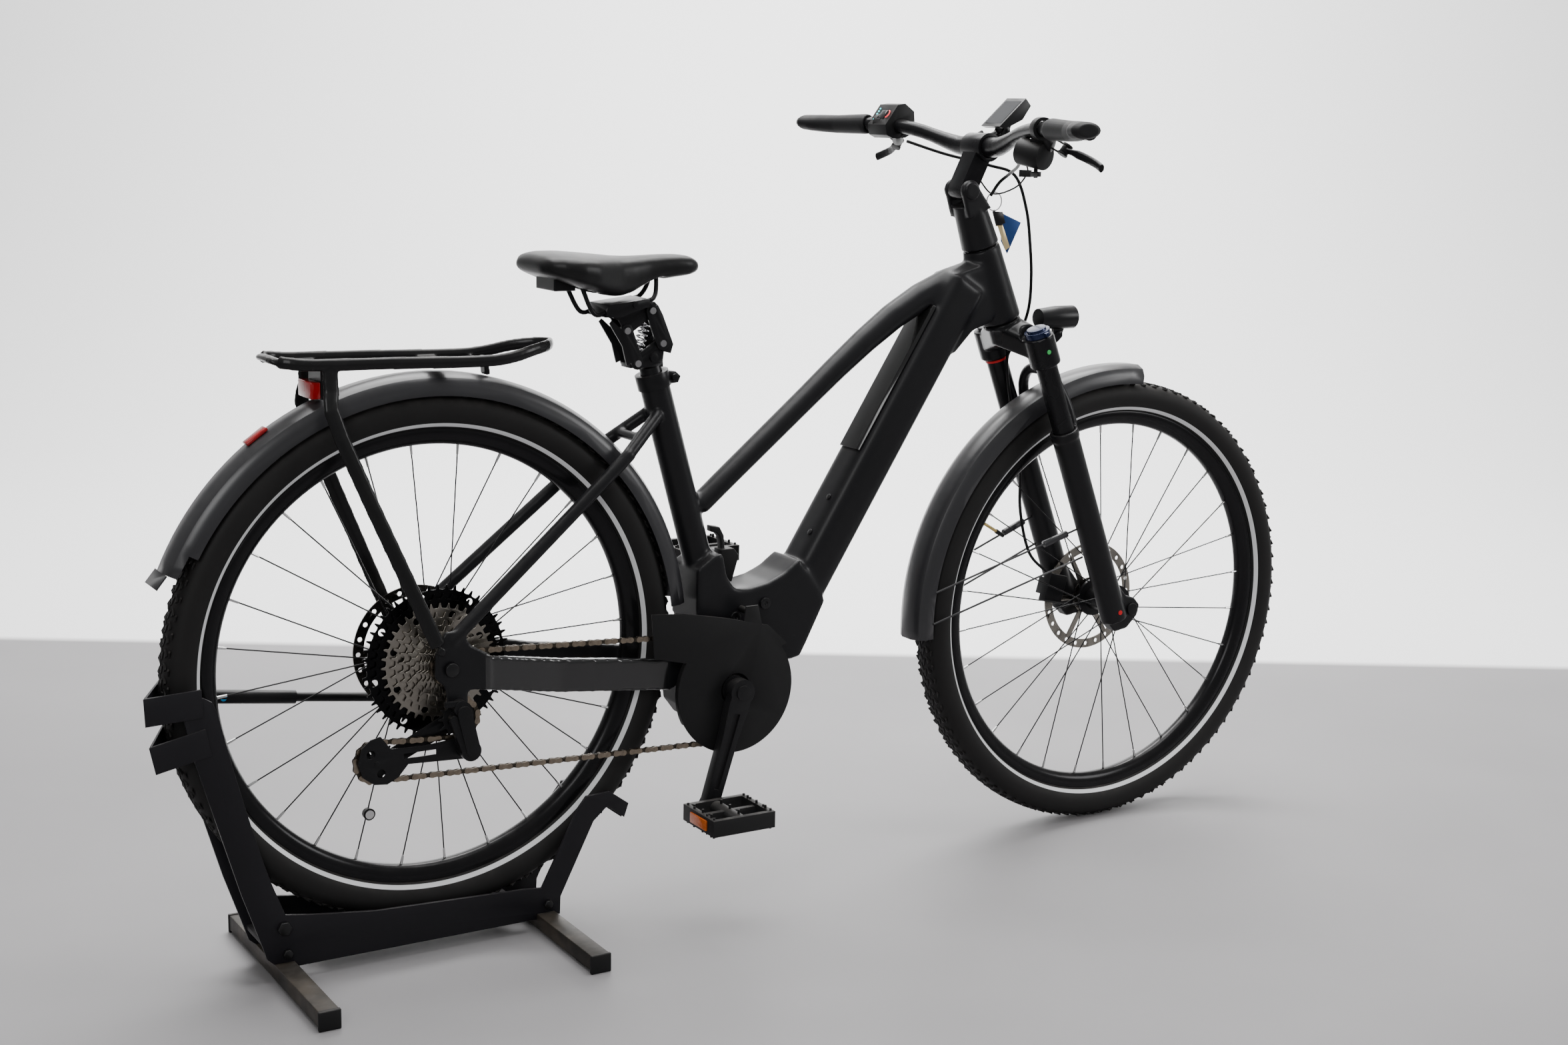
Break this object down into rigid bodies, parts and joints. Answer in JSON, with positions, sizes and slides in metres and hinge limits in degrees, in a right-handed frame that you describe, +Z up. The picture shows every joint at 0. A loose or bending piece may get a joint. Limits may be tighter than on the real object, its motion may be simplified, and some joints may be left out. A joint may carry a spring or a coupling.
{
  "type": "step-through electric bicycle on a floor stand",
  "caption": "Step-through electric bicycle with mudguards, rear rack, mid motor and suspension fork, its rear wheel held in a low steel floor stand.",
  "frame": {"origin": "on the floor under the middle of the whole object: bottom centre of the overall box", "axes": "+X forward, from the rear wheel to the front wheel; +Y to the bicycle's left, across its width; +Z up"},
  "size_m": [1.9514, 0.745, 1.177],
  "materials": {
    "stand_black": "satin black powder coat",
    "bar_steel": "dark worn steel tube",
    "foot_plastic": "black moulded plugs and pads",
    "dark_fastener": "blackened steel",
    "frame_paint": "matt black, satin sheen",
    "cover_gloss": "glossy black",
    "drive_plastic": "matt black moulding",
    "anodised_black": "black anodised",
    "rack_tube": "satin black tube",
    "red_lens": "red lens",
    "mudguard_plastic": "satin dark grey blade",
    "chain_steel": "bronze-silver steel links",
    "pulley_plastic": "black wheel",
    "crank_black": "matt black arm",
    "pedal_black": "black cage",
    "sprocket_steel": "silver steel",
    "rim_black": "black anodised",
    "tyre_rubber": "black tread with a white stripe",
    "spoke_steel": "black steel wire",
    "rotor_steel": "bare steel",
    "spring_steel": "bright steel",
    "saddle_cover": "black leather-look cover",
    "fork_black": "black",
    "knob_blue": "dark blue",
    "grip_rubber": "soft ribbed rubber",
    "button_gloss": "gloss key",
    "display_black": "black housing, dark screen",
    "cable_black": "black cable outer",
    "key_brass": "brass key with black head and blue tag"
  },
  "bodies": {
    "stand": {"stand_frame": "stand_black", "stand_crossbars": "bar_steel", "stand_feet": "foot_plastic", "stand_bolts": "dark_fastener"},
    "bicycle_frame": {"frame": "frame_paint", "battery_cover": "cover_gloss", "frame_bolts": "dark_fastener", "motor": "drive_plastic", "chain_guard": "drive_plastic", "seat_clamp": "anodised_black", "rear_axle": "dark_fastener", "rack": "rack_tube", "rear_lights": "red_lens", "rear_mudguard": "mudguard_plastic", "lock_bracket": "drive_plastic", "kickstand_mount": "anodised_black", "chain": "chain_steel", "derailleur_body": "anodised_black", "derailleur_cage": "anodised_black", "rear_brake": "anodised_black"},
    "kickstand": {"kickstand_leg": "anodised_black"},
    "cranks": {"crankset": "crank_black"},
    "right_pedal": {"pedal_right": "pedal_black"},
    "left_pedal": {"pedal_left": "pedal_black"},
    "sprockets": {"cassette": "sprocket_steel"},
    "guide_wheel": {"guide_pulley": "pulley_plastic"},
    "tension_wheel": {"tension_pulley": "pulley_plastic"},
    "rear_wheel": {"rear_rim": "rim_black", "rear_tyre": "tyre_rubber", "rear_spokes": "spoke_steel", "rear_rotor": "rotor_steel"},
    "post": {"seatpost": "anodised_black", "post_spring": "spring_steel"},
    "rear_link": {"post_rear_link": "anodised_black"},
    "front_link": {"post_front_link": "anodised_black"},
    "saddle_head": {"post_head": "anodised_black", "saddle": "saddle_cover", "saddle_rails": "anodised_black"},
    "steering": {"fork_upper": "fork_black", "stem_base": "frame_paint", "bar_cables": "cable_black"},
    "lockout": {"lockout_knob": "knob_blue"},
    "headlamp": {"headlight": "display_black"},
    "cockpit": {"stem_arm": "fork_black", "handlebar": "fork_black", "grips": "grip_rubber", "controls": "drive_plastic"},
    "left_brake_lever": {"brake_lever_left": "anodised_black"},
    "right_brake_lever": {"brake_lever_right": "anodised_black"},
    "shifter_lever": {"shift_lever": "pulley_plastic"},
    "assist_button": {"remote_button": "button_gloss"},
    "screen": {"display": "display_black"},
    "lower_fork": {"fork_lowers": "frame_paint", "front_mudguard": "mudguard_plastic", "front_brake": "anodised_black"},
    "front_wheel": {"front_rim": "rim_black", "front_tyre": "tyre_rubber", "front_spokes": "spoke_steel", "front_rotor": "rotor_steel"},
    "key_bunch": {"keys": "key_brass"}
  },
  "joints": [
    {"name": "lift_out", "type": "slide", "parent": "stand", "child": "bicycle_frame", "axis": [0, 0, 1], "range_m": [0, 0.45]},
    {"name": "kickstand_swing", "type": "hinge", "parent": "bicycle_frame", "child": "kickstand", "pos_m": [-0.567, 0.064, 0.336], "axis": [0, -1, 0], "range_deg": [0, 95]},
    {"name": "crank_spin", "type": "hinge", "parent": "bicycle_frame", "child": "cranks", "pos_m": [-0.129, 0, 0.324], "axis": [0, 1, 0], "continuous": true},
    {"name": "right_pedal_spin", "type": "hinge", "parent": "cranks", "child": "right_pedal", "pos_m": [-0.1787, -0.142, 0.16143], "axis": [0, 1, 0], "continuous": true},
    {"name": "left_pedal_spin", "type": "hinge", "parent": "cranks", "child": "left_pedal", "pos_m": [-0.0793, 0.142, 0.48657], "axis": [0, 1, 0], "continuous": true},
    {"name": "sprocket_spin", "type": "hinge", "parent": "bicycle_frame", "child": "sprockets", "pos_m": [-0.575, 0, 0.4105], "axis": [0, 1, 0], "continuous": true},
    {"name": "tension_wheel_spin", "type": "hinge", "parent": "bicycle_frame", "child": "tension_wheel", "pos_m": [-0.679, -0.066, 0.293], "axis": [0, 1, 0], "continuous": true},
    {"name": "guide_wheel_spin", "type": "hinge", "parent": "bicycle_frame", "child": "guide_wheel", "pos_m": [-0.559, -0.066, 0.338], "axis": [0, 1, 0], "continuous": true},
    {"name": "rear_wheel_spin", "type": "hinge", "parent": "bicycle_frame", "child": "rear_wheel", "pos_m": [-0.575, 0, 0.4105], "axis": [0, 1, 0], "continuous": true},
    {"name": "seat_height", "type": "slide", "parent": "bicycle_frame", "child": "post", "axis": [-0.2706, 0, 0.9627], "range_m": [0, 0.1]},
    {"name": "rear_link_sink", "type": "hinge", "parent": "post", "child": "rear_link", "pos_m": [-0.2654, 0, 0.8007], "axis": [0, -1, 0], "range_deg": [0, 24], "stiffness_Nm_per_rad": 60, "deforming": ["post_spring"]},
    {"name": "front_link_sink", "type": "hinge", "parent": "post", "child": "front_link", "pos_m": [-0.2257, 0, 0.8275], "axis": [0, -1, 0], "range_deg": [0, 24]},
    {"name": "saddle_level", "type": "hinge", "parent": "rear_link", "child": "saddle_head", "pos_m": [-0.2822, 0, 0.8473], "axis": [0, -1, 0], "range_deg": [-24, 0]},
    {"name": "steering_turn", "type": "hinge", "parent": "bicycle_frame", "child": "steering", "pos_m": [0.3589, 0, 0.8888], "axis": [-0.3584, 0, 0.9336], "range_deg": [-60, 60]},
    {"name": "lockout_turn", "type": "hinge", "parent": "steering", "child": "lockout", "pos_m": [0.40143, -0.065, 0.82265], "axis": [-0.3584, 0, 0.9336], "range_deg": [0, 85]},
    {"name": "headlight_tilt", "type": "hinge", "parent": "steering", "child": "headlamp", "pos_m": [0.491, 0, 0.812], "axis": [0, 1, 0], "range_deg": [-8, 8]},
    {"name": "stem_angle", "type": "hinge", "parent": "steering", "child": "cockpit", "pos_m": [0.29618, 0, 1.03825], "axis": [0, 1, 0], "range_deg": [-3, 8]},
    {"name": "left_brake_pull", "type": "hinge", "parent": "cockpit", "child": "left_brake_lever", "pos_m": [0.321, 0.214, 1.104], "axis": [0.5646, 0.1399, 0.8134], "range_deg": [0, 16], "stiffness_Nm_per_rad": 1.5, "springref_deg": -6.88},
    {"name": "right_brake_pull", "type": "hinge", "parent": "cockpit", "child": "right_brake_lever", "pos_m": [0.321, -0.214, 1.104], "axis": [-0.5646, 0.1399, -0.8134], "range_deg": [0, 16], "stiffness_Nm_per_rad": 1.5, "springref_deg": -6.88},
    {"name": "shift_push", "type": "hinge", "parent": "cockpit", "child": "shifter_lever", "pos_m": [0.299, -0.176, 1.068], "axis": [0, 0, -1], "range_deg": [0, 20], "stiffness_Nm_per_rad": 0.3, "springref_deg": -6.88},
    {"name": "assist_press", "type": "slide", "parent": "cockpit", "child": "assist_button", "axis": [0.8028, 0, -0.5962], "range_m": [0, 0.0008], "stiffness_N_per_m": 800, "springref_m": -0.0008},
    {"name": "display_tilt", "type": "hinge", "parent": "cockpit", "child": "screen", "pos_m": [0.369, 0, 1.128], "axis": [0, 1, 0], "range_deg": [-15, 10]},
    {"name": "fork_travel", "type": "slide", "parent": "steering", "child": "lower_fork", "axis": [-0.3584, 0, 0.9336], "range_m": [0, 0.04], "stiffness_N_per_m": 9000, "springref_m": -0.02, "deforming": ["bar_cables"]},
    {"name": "front_wheel_spin", "type": "hinge", "parent": "lower_fork", "child": "front_wheel", "pos_m": [0.611, 0, 0.366], "axis": [0, 1, 0], "continuous": true},
    {"name": "key_swing", "type": "hinge", "parent": "steering", "child": "key_bunch", "pos_m": [0.357, -0.001, 1.035], "axis": [0, 1, 0], "range_deg": [-20, 4]}
  ],
  "couplings": [
    {"joint": "sprocket_spin", "follows": "crank_spin", "ratio": 4},
    {"joint": "tension_wheel_spin", "follows": "crank_spin", "ratio": 3.0769},
    {"joint": "guide_wheel_spin", "follows": "crank_spin", "ratio": -3.0769},
    {"joint": "front_link_sink", "follows": "rear_link_sink", "ratio": 1},
    {"joint": "saddle_level", "follows": "rear_link_sink", "ratio": -1}
  ]
}
